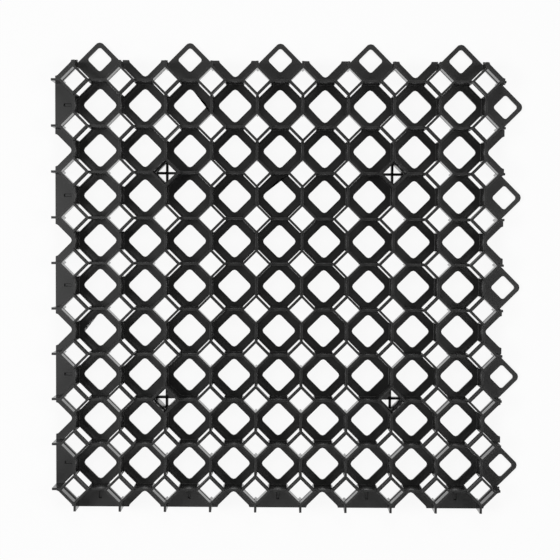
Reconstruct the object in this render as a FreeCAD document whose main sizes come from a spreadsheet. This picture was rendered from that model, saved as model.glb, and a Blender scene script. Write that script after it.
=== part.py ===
import FreeCAD, Part
import math
import os
import Sketcher

# Grass paver grid: one moulding, laid flat on the ground with its open cells upwards.
# Large eight-sided cells and small diamond cells share their walls. A flat plate joins
# all the walls at the ground, with a large hole in each eight-sided cell. Each diamond
# cell has a collar that stands on four corner posts, with a window in every side below
# the collar. Along two sides, raised tabs with a hole near their tip lie over the plain
# border plates of the next panel, and a lug under each tip drops in a pocket there.
# Millimetres, +Z up, ground at Z = 0, origin under the middle of the bounding box.

SIZES = {
    "cell_pitch": 50,
    "row_cells": 10,
    "plate_thick": 3,
    "hole_across": 28,
    "hole_corner": 4.9,
    "collar_inside": 18.8,
    "collar_wall": 2.4,
    "collar_top": 40,
    "window_top": 27,
    "wall_thick": 2.6,
    "wall_top": 33.5,
    "wall_setback": 3.5,
    "tab_cells": 2,
    "tab_across": 29.6,
    "tab_corner": 6,
    "tab_thick": 3,
    "loop_across": 19.6,
    "loop_corner": 3,
    "pocket_reach": 13.8,
    "pocket_length": 8,
    "pocket_width": 3,
    "pocket_depth": 2,
    "lug_reach": 15.2,
    "lug_length": 4,
    "lug_clearance": 0.3,
    "gate_cells": 5,
    "gate_inside": 16.4,
    "web_thick": 2.8,
    "web_top": 8,
}

# Flat sides that stand for the round of one corner.
CORNER_FLATS = 2
DIAMOND_TURN = 45
ROUGHLY_ZERO = 1e-6
X_AXIS = -1
Y_AXIS = -2
ORIGIN = -1
START = 1
END = 2


def fill_sheet(doc):
    """Write the driving dimensions, one alias to each cell."""
    sheet = doc.addObject("Spreadsheet::Sheet", "Sizes")
    for row, (alias, value) in enumerate(SIZES.items(), start=1):
        sheet.set("A%d" % row, alias)
        sheet.set("B%d" % row, str(value))
        sheet.setAlias("B%d" % row, alias)
    doc.recompute()
    return sheet


def origin_feature(body, role):
    """Return the plane or axis of the body's own origin that has this role."""
    return [item for item in body.Origin.OriginFeatures if item.Role == role][0]


def place_sketch(body, name, x="0", z="0", turn=0):
    """Add a sketch parallel to the ground, centred on (x, 0) at height z."""
    sketch = body.newObject("Sketcher::SketchObject", name)
    sketch.AttachmentSupport = [(origin_feature(body, "XY_Plane"), "")]
    sketch.MapMode = "FlatFace"
    turned = FreeCAD.Rotation(FreeCAD.Vector(0, 0, 1), turn)
    sketch.AttachmentOffset = FreeCAD.Placement(FreeCAD.Vector(), turned)
    sketch.setExpression("AttachmentOffset.Base.x", x)
    sketch.setExpression("AttachmentOffset.Base.z", z)
    return sketch


def hold(sketch, edge, name, size, value):
    """Tie one coordinate of an edge's start to its expression."""
    kind, axis = ("DistanceX", Y_AXIS) if name[0] == "x" else ("DistanceY", X_AXIS)
    if abs(value) < ROUGHLY_ZERO:
        sketch.addConstraint(Sketcher.Constraint("PointOnObject", edge, START, axis))
        return
    if value > 0:
        rule = Sketcher.Constraint(kind, ORIGIN, START, edge, START, value)
        expression = size
    else:
        rule = Sketcher.Constraint(kind, edge, START, ORIGIN, START, -value)
        expression = "-(%s)" % size
    index = sketch.addConstraint(rule)
    sketch.renameConstraint(index, name)
    sketch.setExpression("Constraints." + name, expression)


def draw_outline(sketch, corners):
    """Draw a closed outline through corners, each a pair of expressions for X and Y."""
    values = [[float(sketch.evalExpression(size)) for size in corner] for corner in corners]
    count = len(corners)
    for number in range(count):
        start = FreeCAD.Vector(*values[number], 0)
        end = FreeCAD.Vector(*values[(number + 1) % count], 0)
        sketch.addGeometry(Part.LineSegment(start, end), False)
    for number in range(count):
        following = (number + 1) % count
        sketch.addConstraint(Sketcher.Constraint("Coincident", number, END, following, START))
    for number, (corner, value) in enumerate(zip(corners, values)):
        hold(sketch, number, "x%d" % number, corner[0], value[0])
        hold(sketch, number, "y%d" % number, corner[1], value[1])


def box_corners(length, width):
    """Corners of a rectangle centred on the origin."""
    return [
        ("%s(%s) / 2" % (side, length), "%s(%s) / 2" % (rise, width))
        for side, rise in (("-", "-"), ("", "-"), ("", ""), ("-", ""))
    ]


def round_corner(x, y, radius, middle):
    """Corners of the flats round a right-angled corner that points at the middle angle."""
    step = 90 / (CORNER_FLATS + 1)
    corners = []
    for number in range(CORNER_FLATS + 1):
        angle = middle - 45 + step * (number + 0.5)
        reach = "(%s) / cos(%s)" % (radius, step / 2)
        corners.append((
            "%s + %s * cos(%s)" % (x, reach, angle),
            "%s + %s * sin(%s)" % (y, reach, angle),
        ))
    return corners


def round_square_corners(across, radius):
    """Corners of a square centred on the origin, with its own corners rounded by flats."""
    flat = "((%s) / 2 - %s)" % (across, radius)
    corners = []
    for side, rise, middle in (("", "", 45), ("-", "", 135), ("-", "-", 225), ("", "-", 315)):
        corners += round_corner(side + flat, rise + flat, radius, middle)
    return corners


def raise_pad(body, name, sketch, height):
    """Raise material from the sketch."""
    feature = body.newObject("PartDesign::Pad", name)
    feature.Profile = sketch
    feature.setExpression("Length", height)


def cut_pocket(body, name, sketch, height):
    """Cut upwards from the sketch."""
    feature = body.newObject("PartDesign::Pocket", name)
    feature.Profile = sketch
    feature.Reversed = True
    feature.setExpression("Length", height)


def raise_box(body, name, length, width, height, x="0", z="0", turn=0):
    """Raise a box that stands on its own centred rectangle."""
    sketch = place_sketch(body, name + "_outline", x, z, turn)
    draw_outline(sketch, box_corners(length, width))
    raise_pad(body, name, sketch, height)


def new_body(doc, name):
    """Add an empty body."""
    body = doc.addObject("PartDesign::Body", name)
    body.Label = name
    return body


def new_box(doc, name, size, corner):
    """Add a box whose size and lowest corner are expressions."""
    box = doc.addObject("Part::Box", name)
    for side, length in zip(("Length", "Width", "Height"), size):
        box.setExpression(side, length)
    for axis, place in zip("xyz", corner):
        box.setExpression("Placement.Base." + axis, place)
    return box


def build_plate(doc):
    """The flat plate on the ground, before its holes."""
    side = "Sizes.row_cells * Sizes.cell_pitch"
    low = "-%s / 2" % side
    return new_box(doc, "plate", (side, side, "Sizes.plate_thick"), (low, low, "0"))


def build_wall(doc):
    """A line of straight walls along X, from border to border less the setback."""
    length = "Sizes.row_cells * Sizes.cell_pitch - Sizes.wall_setback"
    start = "-Sizes.row_cells * Sizes.cell_pitch / 2"
    size = (length, "Sizes.wall_thick", "Sizes.wall_top")
    return new_box(doc, "wall_line", size, (start, "-Sizes.wall_thick / 2", "0"))


COLLAR_OUTSIDE = "(Sizes.collar_inside + 2 * Sizes.collar_wall)"


def build_diamond(doc):
    """The collar of a diamond cell, before its well and windows."""
    body = new_body(doc, "diamond")
    raise_box(body, "collar", COLLAR_OUTSIDE, COLLAR_OUTSIDE, "Sizes.collar_top", turn=DIAMOND_TURN)
    return body


def build_well(doc):
    """The space of a diamond cell: its square well, and a window through each side."""
    body = new_body(doc, "well")
    inside, top = "Sizes.collar_inside", "Sizes.window_top"
    raise_box(body, "well", inside, inside, "Sizes.collar_top", turn=DIAMOND_TURN)
    raise_box(body, "windows_along", COLLAR_OUTSIDE, inside, top, turn=DIAMOND_TURN)
    raise_box(body, "windows_across", inside, COLLAR_OUTSIDE, top, turn=DIAMOND_TURN)
    return body


def build_gate_well(doc):
    """The space of a diamond cell where the mould was fed: closed sides, a low cross."""
    body = new_body(doc, "gate_well")
    inside, gate = "Sizes.collar_inside", "Sizes.gate_inside"
    mouth_height = "Sizes.collar_top - Sizes.window_top"
    raise_box(body, "mouth", inside, inside, mouth_height, z="Sizes.window_top", turn=DIAMOND_TURN)
    raise_box(body, "gate", gate, gate, "Sizes.window_top", turn=DIAMOND_TURN)
    reach = "2 * " + gate
    for name, size in (
        ("web_along", (reach, "Sizes.web_thick")),
        ("web_across", ("Sizes.web_thick", reach)),
    ):
        web = place_sketch(body, name + "_outline")
        draw_outline(web, box_corners(*size))
        cut_pocket(body, name, web, "Sizes.web_top")
    return body


def build_hole(doc):
    """The large hole in the plate of each eight-sided cell."""
    body = new_body(doc, "hole")
    hole = place_sketch(body, "hole_outline", turn=DIAMOND_TURN)
    draw_outline(hole, round_square_corners("Sizes.hole_across", "Sizes.hole_corner"))
    raise_pad(body, "hole", hole, "Sizes.plate_thick")
    return body


def build_tab(doc):
    """A tab that points along +X, one plate thickness up, and the lug below its tip."""
    body = new_body(doc, "tab")
    half = "Sizes.cell_pitch / 2"
    point = "Sizes.tab_across / sqrt(2)"
    shoulder = "%s - %s" % (point, half)
    middle = "%s - Sizes.tab_corner * sqrt(2)" % point
    outline = place_sketch(body, "tab_outline", z="Sizes.plate_thick")
    corners = [("-" + half, "-" + half), (shoulder, "-" + half)]
    corners += round_corner(middle, "0", "Sizes.tab_corner", 0)
    corners += [(shoulder, half), ("-" + half, half)]
    draw_outline(outline, corners)
    raise_pad(body, "tab_plate", outline, "Sizes.tab_thick")
    foot = "Sizes.plate_thick - Sizes.pocket_depth + Sizes.lug_clearance"
    width = "Sizes.pocket_width - 2 * Sizes.lug_clearance"
    height = "Sizes.pocket_depth - Sizes.lug_clearance"
    raise_box(body, "lug", "Sizes.lug_length", width, height, x="Sizes.lug_reach", z=foot)
    return body


def build_tab_space(doc):
    """The space in and below a tab: the hole through it, and room for the next panel."""
    body = new_body(doc, "tab_space")
    side = "((Sizes.cell_pitch - Sizes.wall_thick) / 2)"
    bevel = "((Sizes.cell_pitch + Sizes.wall_thick) / 2 - %s / sqrt(2))" % COLLAR_OUTSIDE
    below = place_sketch(body, "below_outline")
    corners = [("0", side), ("-" + bevel, side), ("-" + side, bevel)]
    corners += [("-" + side, "-" + bevel), ("-" + bevel, "-" + side), ("0", "-" + side)]
    draw_outline(below, corners)
    raise_pad(body, "below", below, "Sizes.plate_thick")
    raise_box(body, "shoulders", "2 * Sizes.wall_setback", "Sizes.cell_pitch", "Sizes.plate_thick")
    loop = place_sketch(body, "loop_outline", turn=DIAMOND_TURN)
    draw_outline(loop, round_square_corners("Sizes.loop_across", "Sizes.loop_corner"))
    raise_pad(body, "loop", loop, "Sizes.plate_thick + Sizes.tab_thick")
    return body


def build_pocket(doc):
    """The recess in a border plate for a neighbour's lug, inwards along +X."""
    size = ("Sizes.pocket_length", "Sizes.pocket_width", "Sizes.pocket_depth")
    corner = (
        "Sizes.pocket_reach - Sizes.pocket_length / 2",
        "-Sizes.pocket_width / 2",
        "Sizes.plate_thick - Sizes.pocket_depth",
    )
    return new_box(doc, "pocket", size, corner)


def placed(piece, x, y, turn=0):
    """Copy a piece's shape, turned about the vertical and moved to (x, y)."""
    shape = piece.Shape.copy()
    shape.rotate(FreeCAD.Vector(), FreeCAD.Vector(0, 0, 1), turn)
    shape.translate(FreeCAD.Vector(x, y, 0))
    return shape


def build_grid(doc, sheet):
    """The whole moulding: what stands, joined, less what is open."""
    plate, wall, diamond, tab = build_plate(doc), build_wall(doc), build_diamond(doc), build_tab(doc)
    well, gate_well, hole = build_well(doc), build_gate_well(doc), build_hole(doc)
    tab_space, pocket = build_tab_space(doc), build_pocket(doc)
    doc.recompute()

    pitch = sheet.cell_pitch
    cells = int(sheet.row_cells)
    border = cells * pitch / 2
    diamonds = [(number + 0.5) * pitch - border for number in range(cells)]
    octagons = [number * pitch - border for number in range(cells + 1)]
    step = sheet.tab_cells * pitch
    tabs = [(number + 0.5) * step - border for number in range(int(cells / sheet.tab_cells))]
    feeds = [-sheet.gate_cells * pitch / 2, sheet.gate_cells * pitch / 2]

    solid = [placed(diamond, x, y) for x in diamonds for y in diamonds]
    solid += [placed(wall, 0, y) for y in diamonds]
    solid += [placed(wall, x, 0, 90) for x in diamonds]
    empty = []
    for x in octagons:
        for y in octagons:
            at_side, at_end = abs(x) == border, abs(y) == border
            coupled = (at_side and y in tabs) or (at_end and x in tabs)
            if not coupled:
                empty.append(placed(hole, x, y))
    for x in diamonds:
        for y in diamonds:
            fed = x in feeds and y in feeds
            empty.append(placed(gate_well if fed else well, x, y))
    for run in tabs:
        solid += [placed(tab, border, run), placed(tab, run, border, 90)]
        empty += [placed(tab_space, border, run), placed(tab_space, run, border, 90)]
        empty += [placed(pocket, -border, run), placed(pocket, run, -border, 90)]
    grid = plate.Shape.multiFuse(solid).removeSplitter().cut(empty)

    piece = doc.addObject("Part::Feature", "paver_grid")
    piece.Label = "paver_grid"
    piece.Shape = grid
    box = grid.BoundBox
    middle = FreeCAD.Vector(box.Center.x, box.Center.y, box.ZMin)
    piece.Placement = FreeCAD.Placement(-middle, FreeCAD.Rotation())
    return piece


def check_document(doc, pieces):
    """Stop if a feature failed or a piece is not one valid solid."""
    for item in doc.Objects:
        bad = [state for state in item.State if state in ("Invalid", "Error")]
        if bad:
            raise RuntimeError("%s is %s" % (item.Name, bad))
    for piece in pieces:
        shape = piece.Shape
        if shape.isNull() or not shape.isValid() or len(shape.Solids) != 1:
            raise RuntimeError(piece.Label + " is not one valid solid")


def main():
    doc = FreeCAD.newDocument("GrassPaverGrid")
    sheet = fill_sheet(doc)
    pieces = [build_grid(doc, sheet)]
    doc.recompute()
    check_document(doc, pieces)
    os.makedirs("parts", exist_ok=True)
    for piece in pieces:
        box = piece.Shape.BoundBox
        size = [round(length, 2) for length in (box.XLength, box.YLength, box.ZLength)]
        print(piece.Label, size, "faces", len(piece.Shape.Faces))
        piece.Shape.exportStep("parts/%s.step" % piece.Label)


main()
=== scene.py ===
import math

import bpy
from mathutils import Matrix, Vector


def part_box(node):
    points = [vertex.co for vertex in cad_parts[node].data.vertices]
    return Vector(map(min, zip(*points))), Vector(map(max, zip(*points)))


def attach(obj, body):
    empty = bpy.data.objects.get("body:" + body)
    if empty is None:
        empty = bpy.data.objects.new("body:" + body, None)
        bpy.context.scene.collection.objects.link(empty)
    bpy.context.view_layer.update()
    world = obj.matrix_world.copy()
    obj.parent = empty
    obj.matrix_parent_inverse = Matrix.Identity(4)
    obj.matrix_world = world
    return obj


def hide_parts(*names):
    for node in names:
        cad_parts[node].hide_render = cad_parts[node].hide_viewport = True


# Grass paver grid, finished around its CAD moulding: rounded edges, low kerbs along the
# plate beside each diamond cell's windows, a small pad in each of the two front gates
# (the closed diamond cells), black moulded plastic, and a pale studio floor under a
# camera that looks down on the panel.

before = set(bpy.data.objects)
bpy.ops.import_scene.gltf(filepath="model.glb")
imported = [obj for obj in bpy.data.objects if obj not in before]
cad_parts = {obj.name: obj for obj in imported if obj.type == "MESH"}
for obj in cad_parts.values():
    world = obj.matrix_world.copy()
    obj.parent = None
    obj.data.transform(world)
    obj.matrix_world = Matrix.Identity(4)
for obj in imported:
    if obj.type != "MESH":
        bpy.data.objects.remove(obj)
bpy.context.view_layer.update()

bl_info = {
    "name": "Grass paver grid",
    "version": (1, 0, 0),
    "blender": (4, 5, 0),
    "location": "3D View > Sidebar > Paver",
    "description": "Finishes the moulded grid and sets the studio around it",
    "category": "Object",
}

NODE = "paver_grid"
LOW, HIGH = (Vector(corner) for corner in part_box(NODE))
DIAGONAL = math.radians(45)
# Points closer than this are one point of the moulding.
SAME_POINT = 1e-5
# Faces that turn less than this against each other are one flat face.
FLAT_TURN = math.radians(0.5)
# The flats that stand for a round corner turn by this much, from and to.
CORNER_TURN = (math.radians(25), math.radians(35))
# A face counts as standing at a given reach when it is this near to it.
REACH_SLACK = 0.0002
# A normal's part along a way, from which a face counts as facing that way.
FACING = 0.9
FACING_SQUARELY = 0.99
# Straight steps across the rounding of an edge.
ROUND_STEPS = 2
# Kerbs around one diamond cell.
KERB_SIDES = 4
# Radius without kerbs around a gate and around a tab's cell, in cell pitches.
GATE_CLEAR = 0.4
TAB_CLEAR = 0.52

# Noise scale and detail of the plastic's flow clouding and of its grain.
CLOUD_SCALE = 14.0
CLOUD_DETAIL = 4.0
GRAIN_SCALE = 900.0
GRAIN_DETAIL = 2.0
# The clouding's darkest and lightest tint, as shares of the colour.
DARK_TINT = 0.8
LIGHT_TINT = 1.3
# How much smoother and rougher than set the clouding makes the surface.
SMOOTHER = 0.06
ROUGHER = 0.08
# Facing weights between which the roughness goes over to its grazing value.
GRAZING_START = 0.6
GRAZING_END = 0.85
GRAIN_STRENGTH = 0.1
GRAIN_DEPTH = 0.0002

# Share of the floor's light, for the camera and in reflections, that is plain white.
CLEAN_SHARE = 0.9
FLOOR_SIZE = 30.0
BACKDROP_STRENGTH = 0.03
LAMP_SIZE = 0.8
# Name, place and power of each softbox. All of them look at the panel's middle.
LAMPS = (
    ("left", (-1.15, 0.0, 1.75), 18.5),
    ("right", (1.15, 0.0, 1.75), 11.1),
    ("back", (0.0, 1.15, 1.75), 9.3),
    ("front", (0.0, -1.15, 1.75), 7.0),
)
CAMERA_SENSOR = 36.0
CAMERA_LENS = 91.286
CAMERA_SHIFT = 0.05971
CAMERA_FAR = 50.0
CAMERA_PLACE = (-0.009394, 0.048965, 1.591555)
CAMERA_TURN = (-0.055908, -0.00049, 0.005963)


class PaverSizes(bpy.types.PropertyGroup):
    """Sizes of the moulding's finer forms."""

    pitch: bpy.props.FloatProperty(
        name="Cell pitch",
        description="Distance from one cell to the next",
        default=0.05,
        unit="LENGTH",
    )
    cells: bpy.props.IntProperty(
        name="Cells",
        description="Diamond cells along one side of the panel",
        default=10,
        min=1,
    )
    gate_cells: bpy.props.IntProperty(
        name="Gate cells",
        description="Cells from one closed diamond cell to the next",
        default=5,
        min=1,
    )
    tab_cells: bpy.props.IntProperty(
        name="Tab cells",
        description="Cells from one coupling tab to the next",
        default=2,
        min=1,
    )
    plate: bpy.props.FloatProperty(
        name="Plate",
        description="Thickness of the plate on the ground",
        default=0.003,
        unit="LENGTH",
    )
    edge_round: bpy.props.FloatProperty(
        name="Edge rounding",
        description="Width of the rounding along the edges",
        default=0.00022,
        unit="LENGTH",
    )
    corner_round: bpy.props.FloatProperty(
        name="Corner rounding",
        description="Width of the rounding between the flats of a hole's corner",
        default=0.0007,
        unit="LENGTH",
    )
    collar_reach: bpy.props.FloatProperty(
        name="Collar reach",
        description="From a diamond cell's middle to the outer face of its collar",
        default=0.0118,
        unit="LENGTH",
    )
    sill_reach: bpy.props.FloatProperty(
        name="Sill reach",
        description="From a diamond cell's middle to the plate's edge below its windows",
        default=0.01227,
        unit="LENGTH",
    )
    hole_reach: bpy.props.FloatProperty(
        name="Hole reach",
        description="From a large hole's middle to its straight sides, as moulded in the plate",
        default=0.014,
        unit="LENGTH",
    )
    hole_trim: bpy.props.FloatProperty(
        name="Hole trim",
        description="How much nearer to its middle a large hole's straight sides are put",
        default=0.0002,
        unit="LENGTH",
    )
    pad_reach: bpy.props.FloatProperty(
        name="Pad reach",
        description="From a closed diamond cell's middle to the free side of its pad",
        default=0.0064,
        unit="LENGTH",
    )
    pad_root: bpy.props.FloatProperty(
        name="Pad root",
        description="From a closed diamond cell's middle to the pad's side inside the wall",
        default=0.0096,
        unit="LENGTH",
    )
    pad_length: bpy.props.FloatProperty(
        name="Pad length",
        description="Length of one pad along its wall",
        default=0.0075,
        unit="LENGTH",
    )
    pad_drop: bpy.props.FloatProperty(
        name="Pad drop",
        description="Depth of the pads' tops below the tops of the walls",
        default=0.0002,
        unit="LENGTH",
    )
    kerb_length: bpy.props.FloatProperty(
        name="Kerb length",
        description="Length of one kerb",
        default=0.0188,
        unit="LENGTH",
    )
    kerb_width: bpy.props.FloatProperty(
        name="Kerb width",
        description="Width of one kerb at its foot",
        default=0.0016,
        unit="LENGTH",
    )
    kerb_root: bpy.props.FloatProperty(
        name="Kerb root",
        description="Depth of one kerb's root inside the plate",
        default=0.001,
        unit="LENGTH",
    )
    kerb_rise: bpy.props.FloatProperty(
        name="Kerb rise",
        description="Height of one kerb above the plate",
        default=0.002,
        unit="LENGTH",
    )


class PaverFinish(bpy.types.PropertyGroup):
    """Colour and surface of the moulding."""

    colour: bpy.props.FloatVectorProperty(
        name="Colour",
        description="Colour of the moulded plastic",
        subtype="COLOR",
        size=3,
        min=0.0,
        max=1.0,
        default=(0.0075, 0.0075, 0.0072),
    )
    roughness: bpy.props.FloatProperty(
        name="Roughness",
        description="Roughness of the moulded plastic",
        subtype="FACTOR",
        min=0.0,
        max=1.0,
        default=0.36,
    )
    grazing: bpy.props.FloatProperty(
        name="Grazing roughness",
        description="Roughness where the surface is seen nearly edge on",
        subtype="FACTOR",
        min=0.0,
        max=1.0,
        default=0.2,
    )


def deselect():
    """Leave nothing selected."""
    if bpy.context.object and bpy.context.object.mode != "OBJECT":
        bpy.ops.object.mode_set(mode="OBJECT")
    bpy.ops.object.select_all(action="DESELECT")


def select_only(piece):
    """Select one object and make it active."""
    deselect()
    piece.select_set(True)
    bpy.context.view_layer.objects.active = piece


def settle(piece):
    """Put the object's place, turn and scale into its mesh."""
    select_only(piece)
    bpy.ops.object.transform_apply(location=True, rotation=True, scale=True)


def repeat(piece, name, count, step):
    """Copy the piece along a line and keep the copies in its mesh."""
    select_only(piece)
    row = piece.modifiers.new(name, "ARRAY")
    row.count = count
    row.use_relative_offset = False
    row.use_constant_offset = True
    row.constant_offset_displace = step
    bpy.ops.object.modifier_apply(modifier=row.name)


def round_top(piece, width):
    """Go to edit mode and round the edges of the faces that look up."""
    bpy.ops.object.mode_set(mode="EDIT")
    bpy.ops.mesh.select_mode(type="FACE")
    pick_faces(piece, lambda centre, normal: normal.z > FACING)
    bpy.ops.mesh.bevel(offset=width, segments=ROUND_STEPS, affect="EDGES")


def pick_faces(piece, wanted):
    """In edit mode, select the faces whose middle and normal pass the test."""
    bpy.ops.mesh.select_all(action="DESELECT")
    bpy.ops.object.mode_set(mode="OBJECT")
    for face in piece.data.polygons:
        face.select = wanted(face.center, face.normal)
    bpy.ops.object.mode_set(mode="EDIT")


def pick_corner_edges(piece):
    """In edit mode, select the edges between the flats of the round corners."""
    bpy.ops.mesh.select_mode(type="EDGE")
    bpy.ops.mesh.select_all(action="DESELECT")
    bpy.ops.object.mode_set(mode="OBJECT")
    mesh = piece.data
    sides = {}
    for face in mesh.polygons:
        for key in face.edge_keys:
            sides.setdefault(key, []).append(face.normal)
    for edge in mesh.edges:
        first, second = sides[edge.key]
        edge.select = CORNER_TURN[0] < first.angle(second) < CORNER_TURN[1]
    bpy.ops.object.mode_set(mode="EDIT")


def from_cell(place, middle, pitch):
    """The way to a place from the middle of its nearest cell, one cell being at middle."""
    way = Vector((place.x - middle.x, place.y - middle.y, 0))
    way.x -= pitch * round(way.x / pitch)
    way.y -= pitch * round(way.y / pitch)
    return way


def shift_sides(piece, middle, pitch, reach, top, distance):
    """Move the low faces that look at a cell's middle from this reach, further out."""
    for turn in (45, 135, 225, 315):
        out = Vector((math.cos(math.radians(turn)), math.sin(math.radians(turn)), 0))

        def looks_in(centre, normal):
            if centre.z > top or normal.dot(out) > -FACING_SQUARELY:
                return False
            return abs(from_cell(centre, middle, pitch).dot(out) - reach) < REACH_SLACK

        pick_faces(piece, looks_in)
        bpy.ops.transform.translate(value=out * distance)


def gate_spots(sizes):
    """Middles of the four closed diamond cells."""
    middle = LOW.xy + Vector((1, 1)) * sizes.cells * sizes.pitch / 2
    reach = sizes.gate_cells * sizes.pitch / 2
    return [middle + Vector((x, y)) * reach for x in (-1, 1) for y in (-1, 1)]


def tab_spots(sizes):
    """Middles of the half cells along the right and back borders that carry a tab."""
    border = sizes.cells * sizes.pitch
    step = sizes.tab_cells * sizes.pitch
    runs = [(number + 0.5) * step for number in range(sizes.cells // sizes.tab_cells)]
    right = [LOW.xy + Vector((border, run)) for run in runs]
    back = [LOW.xy + Vector((run, border)) for run in runs]
    return right + back


def add_link(tree, start, socket, end, entry):
    """Join two node sockets."""
    tree.links.new(start.outputs[socket], end.inputs[entry])


def plastic_material(name, finish):
    """Black moulded plastic with fine grain and faint clouding, smoother edge on."""
    material = bpy.data.materials.new(name)
    material.use_nodes = True
    tree = material.node_tree
    shader = tree.nodes["Principled BSDF"]
    place = tree.nodes.new("ShaderNodeTexCoord")

    cloud = tree.nodes.new("ShaderNodeTexNoise")
    cloud.inputs["Scale"].default_value = CLOUD_SCALE
    cloud.inputs["Detail"].default_value = CLOUD_DETAIL
    add_link(tree, place, "Object", cloud, "Vector")

    tint = tree.nodes.new("ShaderNodeMix")
    tint.data_type = "RGBA"
    dark = [part * DARK_TINT for part in finish.colour]
    light = [part * LIGHT_TINT for part in finish.colour]
    tint.inputs["A"].default_value = (*dark, 1.0)
    tint.inputs["B"].default_value = (*light, 1.0)
    add_link(tree, cloud, "Fac", tint, "Factor")
    add_link(tree, tint, "Result", shader, "Base Color")

    patch = tree.nodes.new("ShaderNodeMapRange")
    patch.inputs["To Min"].default_value = finish.roughness - SMOOTHER
    patch.inputs["To Max"].default_value = finish.roughness + ROUGHER
    add_link(tree, cloud, "Fac", patch, "Value")

    glance = tree.nodes.new("ShaderNodeLayerWeight")
    glance.inputs["Blend"].default_value = 0.5
    smooth = tree.nodes.new("ShaderNodeMapRange")
    smooth.inputs["From Min"].default_value = GRAZING_START
    smooth.inputs["From Max"].default_value = GRAZING_END
    smooth.inputs["To Max"].default_value = finish.grazing
    add_link(tree, glance, "Facing", smooth, "Value")
    add_link(tree, patch, "Result", smooth, "To Min")
    add_link(tree, smooth, "Result", shader, "Roughness")

    grain = tree.nodes.new("ShaderNodeTexNoise")
    grain.inputs["Scale"].default_value = GRAIN_SCALE
    grain.inputs["Detail"].default_value = GRAIN_DETAIL
    add_link(tree, place, "Object", grain, "Vector")
    bump = tree.nodes.new("ShaderNodeBump")
    bump.inputs["Strength"].default_value = GRAIN_STRENGTH
    bump.inputs["Distance"].default_value = GRAIN_DEPTH
    add_link(tree, grain, "Fac", bump, "Height")
    add_link(tree, bump, "Normal", shader, "Normal")
    return material


def floor_material():
    """A pale floor, lit to clean white for the camera, that keeps a faint shadow."""
    material = bpy.data.materials.new("studio_floor")
    material.use_nodes = True
    tree = material.node_tree
    shader = tree.nodes["Principled BSDF"]
    shader.inputs["Base Color"].default_value = (0.9, 0.9, 0.9, 1.0)
    shader.inputs["Roughness"].default_value = 0.9
    shader.inputs["Specular IOR Level"].default_value = 0.1
    clean = tree.nodes.new("ShaderNodeEmission")
    clean.inputs["Color"].default_value = (1.0, 1.0, 1.0, 1.0)
    clean.inputs["Strength"].default_value = 1.0
    seen = tree.nodes.new("ShaderNodeLightPath")
    either = tree.nodes.new("ShaderNodeMath")
    either.operation = "MAXIMUM"
    add_link(tree, seen, "Is Camera Ray", either, 0)
    add_link(tree, seen, "Is Glossy Ray", either, 1)
    share = tree.nodes.new("ShaderNodeMath")
    share.operation = "MULTIPLY"
    share.inputs[1].default_value = CLEAN_SHARE
    add_link(tree, either, "Value", share, 0)
    blend = tree.nodes.new("ShaderNodeMixShader")
    add_link(tree, share, "Value", blend, "Fac")
    add_link(tree, shader, "BSDF", blend, 1)
    add_link(tree, clean, "Emission", blend, 2)
    add_link(tree, blend, "Shader", tree.nodes["Material Output"], "Surface")
    return material


class PAVER_OT_moulding(bpy.types.Operator):
    """Copy the moulding, trim its sills and holes, round its edges, make it black"""

    bl_idname = "paver.moulding"
    bl_label = "Moulding"

    def execute(self, context):
        sizes = context.scene.paver_sizes
        select_only(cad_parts[NODE])
        bpy.ops.object.duplicate()
        piece = context.object
        piece.name = "moulding"
        piece.data.name = "moulding"
        bpy.ops.object.mode_set(mode="EDIT")
        bpy.ops.mesh.select_all(action="SELECT")
        bpy.ops.mesh.remove_doubles(threshold=SAME_POINT)
        bpy.ops.mesh.dissolve_limited(angle_limit=FLAT_TURN)
        bpy.ops.mesh.select_mode(type="FACE")
        corner = Vector((LOW.x, LOW.y, 0))
        diamond = corner + Vector((sizes.pitch / 2, sizes.pitch / 2, 0))
        low = 2 * sizes.plate
        outwards = sizes.sill_reach - sizes.collar_reach
        shift_sides(piece, diamond, sizes.pitch, sizes.collar_reach, low, outwards)
        shift_sides(piece, corner, sizes.pitch, sizes.hole_reach, sizes.plate, -sizes.hole_trim)
        pick_corner_edges(piece)
        bpy.ops.mesh.bevel(offset=sizes.corner_round, segments=ROUND_STEPS, affect="EDGES")
        bpy.ops.object.mode_set(mode="OBJECT")
        soften = piece.modifiers.new("edges", "BEVEL")
        soften.width = sizes.edge_round
        soften.segments = ROUND_STEPS
        soften.angle_limit = CORNER_TURN[1]
        soften.use_clamp_overlap = False
        bpy.ops.object.modifier_apply(modifier=soften.name)
        piece.data.materials.clear()
        piece.data.materials.append(plastic_material("black_plastic", context.scene.paver_finish))
        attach(piece, "root")
        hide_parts(NODE)
        return {"FINISHED"}


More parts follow.
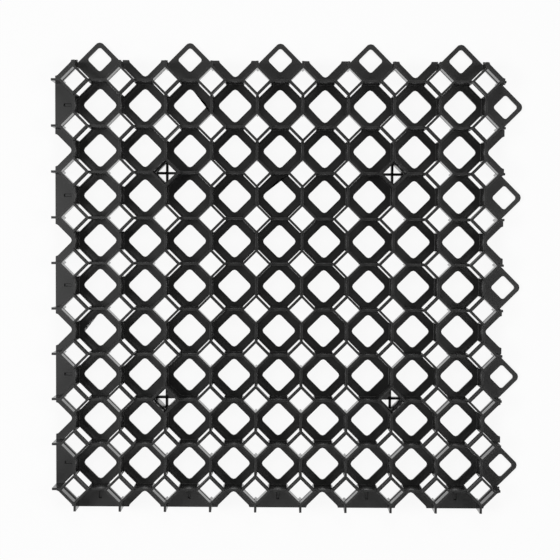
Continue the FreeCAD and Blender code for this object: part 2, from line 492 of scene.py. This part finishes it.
class PAVER_OT_kerbs(bpy.types.Operator):
    """Add the low kerbs along the plate beside each diamond cell's windows"""

    bl_idname = "paver.kerbs"
    bl_label = "Kerbs"

    def execute(self, context):
        sizes = context.scene.paver_sizes
        deselect()
        middle = sizes.sill_reach + sizes.kerb_width / 2
        height = sizes.kerb_root + sizes.kerb_rise
        bpy.ops.mesh.primitive_cube_add(
            size=1.0,
            location=(middle, 0, sizes.plate - sizes.kerb_root + height / 2),
            scale=(sizes.kerb_width, sizes.kerb_length, height),
        )
        kerb = context.object
        kerb.name = "kerbs"
        settle(kerb)
        round_top(kerb, sizes.edge_round)
        bpy.ops.mesh.select_all(action="SELECT")
        for side in range(KERB_SIDES - 1):
            bpy.ops.mesh.duplicate()
            bpy.ops.transform.rotate(
                value=math.tau / KERB_SIDES, orient_axis="Z", center_override=(0, 0, 0)
            )
        bpy.ops.mesh.select_all(action="SELECT")
        bpy.ops.transform.rotate(value=DIAGONAL, orient_axis="Z", center_override=(0, 0, 0))
        bpy.ops.object.mode_set(mode="OBJECT")
        kerb.location = (LOW.x + sizes.pitch / 2, LOW.y + sizes.pitch / 2, 0)
        settle(kerb)
        repeat(kerb, "row", sizes.cells, (sizes.pitch, 0, 0))
        repeat(kerb, "rows", sizes.cells, (0, sizes.pitch, 0))
        bare = [(spot, GATE_CLEAR * sizes.pitch) for spot in gate_spots(sizes)]
        bare += [(spot, TAB_CLEAR * sizes.pitch) for spot in tab_spots(sizes)]
        bpy.ops.object.mode_set(mode="EDIT")
        pick_faces(kerb, lambda centre, normal: any((centre.xy - s).length < r for s, r in bare))
        bpy.ops.mesh.delete(type="FACE")
        bpy.ops.object.mode_set(mode="OBJECT")
        kerb.data.materials.append(bpy.data.materials["black_plastic"])
        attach(kerb, "root")
        return {"FINISHED"}


class PAVER_OT_pads(bpy.types.Operator):
    """Add the small pad at the top of one wall in each of the two front gates"""

    bl_idname = "paver.pads"
    bl_label = "Gate pads"

    def execute(self, context):
        sizes = context.scene.paver_sizes
        middle = LOW.xy + Vector((1, 1)) * sizes.cells * sizes.pitch / 2
        depth = sizes.pad_root - sizes.pad_reach
        pads = []
        for spot in gate_spots(sizes):
            if spot.y > middle.y:
                continue
            inwards = DIAGONAL if spot.x < middle.x else 3 * DIAGONAL
            reach = (sizes.pad_reach + sizes.pad_root) / 2
            place = spot + Vector((math.cos(inwards), math.sin(inwards))) * reach
            deselect()
            bpy.ops.mesh.primitive_cube_add(
                size=1.0,
                location=(place.x, place.y, HIGH.z - sizes.pad_drop - sizes.plate / 2),
                rotation=(0, 0, inwards),
                scale=(depth, sizes.pad_length, sizes.plate),
            )
            pad = context.object
            settle(pad)
            round_top(pad, sizes.edge_round)
            bpy.ops.object.mode_set(mode="OBJECT")
            pads.append(pad)
        for pad in pads:
            pad.select_set(True)
        bpy.ops.object.join()
        piece = context.object
        piece.name = "gate_pads"
        piece.data.name = "gate_pads"
        piece.data.materials.append(bpy.data.materials["black_plastic"])
        settle(piece)
        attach(piece, "root")
        return {"FINISHED"}


class PAVER_OT_stage(bpy.types.Operator):
    """Set the floor, the lights, the surroundings and the camera"""

    bl_idname = "paver.stage"
    bl_label = "Stage"

    def execute(self, context):
        scene = context.scene
        scene.view_settings.view_transform = "Standard"
        deselect()
        bpy.ops.mesh.primitive_plane_add(size=FLOOR_SIZE, location=(0, 0, 0))
        floor = context.object
        floor.name = "floor"
        floor.data.materials.append(floor_material())

        world = bpy.data.worlds.new("studio")
        scene.world = world
        world.use_nodes = True
        backdrop = world.node_tree.nodes["Background"]
        backdrop.inputs["Color"].default_value = (1.0, 1.0, 1.0, 1.0)
        backdrop.inputs["Strength"].default_value = BACKDROP_STRENGTH

        for name, spot, power in LAMPS:
            lamp = bpy.data.lights.new(name, "AREA")
            lamp.size = LAMP_SIZE
            lamp.energy = power
            holder = bpy.data.objects.new(name, lamp)
            holder.location = spot
            holder.rotation_euler = (-Vector(spot)).to_track_quat("-Z", "Y").to_euler()
            scene.collection.objects.link(holder)

        camera = bpy.data.cameras.new("camera")
        camera.sensor_width = CAMERA_SENSOR
        camera.lens = CAMERA_LENS
        camera.shift_y = CAMERA_SHIFT
        camera.clip_end = CAMERA_FAR
        holder = bpy.data.objects.new("camera", camera)
        holder.location = CAMERA_PLACE
        holder.rotation_euler = CAMERA_TURN
        scene.collection.objects.link(holder)
        scene.camera = holder
        return {"FINISHED"}


class PAVER_PT_panel(bpy.types.Panel):
    """Lists the sizes, the finish and the steps"""

    bl_label = "Grass paver grid"
    bl_idname = "PAVER_PT_panel"
    bl_space_type = "VIEW_3D"
    bl_region_type = "UI"
    bl_category = "Paver"

    def draw(self, context):
        layout = self.layout
        for group in (context.scene.paver_sizes, context.scene.paver_finish):
            for name in group.__annotations__:
                layout.prop(group, name)
        for step in STEPS:
            layout.operator(step.bl_idname)


STEPS = (PAVER_OT_moulding, PAVER_OT_kerbs, PAVER_OT_pads, PAVER_OT_stage)
CLASSES = (PaverSizes, PaverFinish, *STEPS, PAVER_PT_panel)


def register():
    for item in CLASSES:
        bpy.utils.register_class(item)
    bpy.types.Scene.paver_sizes = bpy.props.PointerProperty(type=PaverSizes)
    bpy.types.Scene.paver_finish = bpy.props.PointerProperty(type=PaverFinish)


def unregister():
    del bpy.types.Scene.paver_finish
    del bpy.types.Scene.paver_sizes
    for item in reversed(CLASSES):
        bpy.utils.unregister_class(item)


def main():
    register()
    bpy.ops.paver.moulding()
    bpy.ops.paver.kerbs()
    bpy.ops.paver.pads()
    bpy.ops.paver.stage()


if __name__ == "__main__":
    main()
